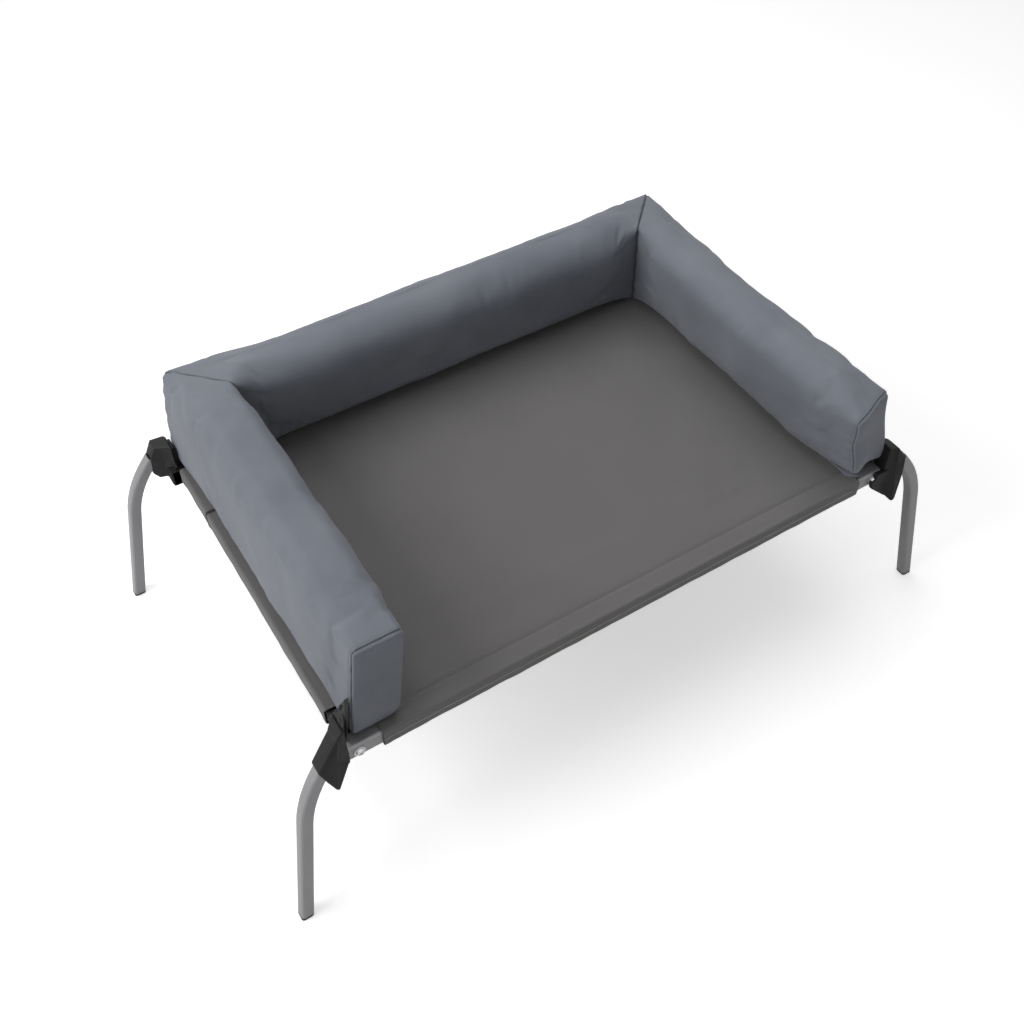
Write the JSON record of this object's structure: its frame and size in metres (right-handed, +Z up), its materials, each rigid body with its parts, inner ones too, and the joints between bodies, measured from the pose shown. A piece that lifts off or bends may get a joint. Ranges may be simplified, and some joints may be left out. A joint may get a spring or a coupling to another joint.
{
  "type": "dog bed",
  "caption": "Raised rectangular dog bed: a taut cloth sling on a square tube frame with splayed bent legs and a bolster round three sides.",
  "frame": {"origin": "on the floor, under the middle of the bed's outer box", "axes": "+X along the bed's length, -Y towards the open front, +Z up"},
  "size_m": [1.1342, 0.6652, 0.4516],
  "materials": {
    "coated_steel": "satin grey powder coat",
    "black_moulding": "moulded, slightly satin",
    "zinc_steel": "zinc plated",
    "sling_cloth": "plain woven, matt",
    "bolster_cloth": "woven, slight sheen",
    "foam": "open-cell foam",
    "tie_tape": "narrow tape"
  },
  "bodies": {
    "frame": {"rail_front": "coated_steel", "rail_back": "coated_steel", "rail_left": "coated_steel", "rail_right": "coated_steel", "corner_connector_front_left": "black_moulding", "leg_front_left": "coated_steel", "foot_plug_front_left": "black_moulding", "bolt_front_left": "zinc_steel", "washer_front_left": "zinc_steel", "nut_front_left": "zinc_steel", "corner_connector_front_right": "black_moulding", "leg_front_right": "coated_steel", "foot_plug_front_right": "black_moulding", "bolt_front_right": "zinc_steel", "washer_front_right": "zinc_steel", "nut_front_right": "zinc_steel", "corner_connector_rear_left": "black_moulding", "leg_rear_left": "coated_steel", "foot_plug_rear_left": "black_moulding", "bolt_rear_left": "zinc_steel", "washer_rear_left": "zinc_steel", "nut_rear_left": "zinc_steel", "corner_connector_rear_right": "black_moulding", "leg_rear_right": "coated_steel", "foot_plug_rear_right": "black_moulding", "bolt_rear_right": "zinc_steel", "washer_rear_right": "zinc_steel", "nut_rear_right": "zinc_steel", "sling_mat": "sling_cloth", "tie_left": "tie_tape", "tie_right": "tie_tape", "tie_back_left": "tie_tape", "tie_back_right": "tie_tape"},
    "bolster_set": {"bolster_left_cover": "bolster_cloth", "bolster_left_core": "foam", "bolster_back_cover": "bolster_cloth", "bolster_back_core": "foam", "bolster_right_cover": "bolster_cloth", "bolster_right_core": "foam"}
  },
  "joints": [
    {"name": "bolster_lift", "type": "slide", "parent": "frame", "child": "bolster_set", "axis": [0, 0, 1], "range_m": [0, 0.25]}
  ]
}
